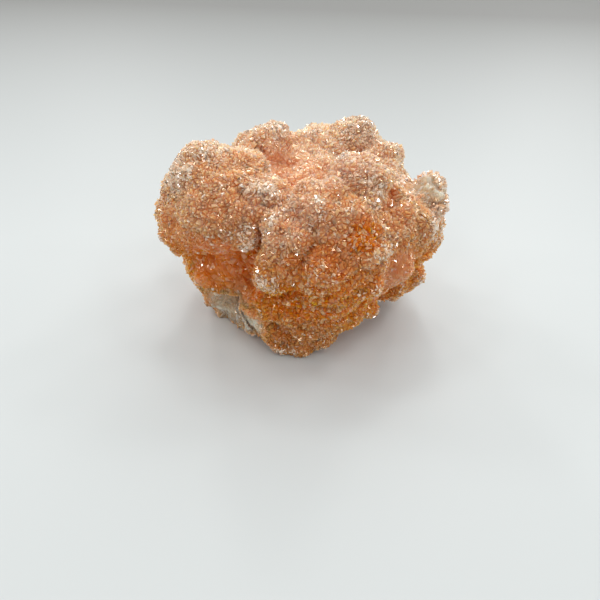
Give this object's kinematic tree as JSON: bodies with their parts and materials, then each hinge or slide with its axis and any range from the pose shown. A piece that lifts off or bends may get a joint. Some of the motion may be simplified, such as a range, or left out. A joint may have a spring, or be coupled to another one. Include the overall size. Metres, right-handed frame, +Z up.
{
  "type": "apophyllite cluster",
  "caption": "Hand-sized mineral cluster: rounded lobes grown together, coated all over with small pointed peach crystals, with a flat break underneath to rest on.",
  "frame": {"origin": "on the plane of the flat break, under the middle of the cluster's outline", "axes": "+Z up out of the break, +X along the cluster's width, -Y towards the front, which shows the big front face beside the left shoulder"},
  "size_m": [0.0482, 0.038, 0.0341],
  "materials": {
    "druse": "satin"
  },
  "bodies": {
    "root": {"apophyllite_cluster": "druse"}
  },
  "joints": []
}
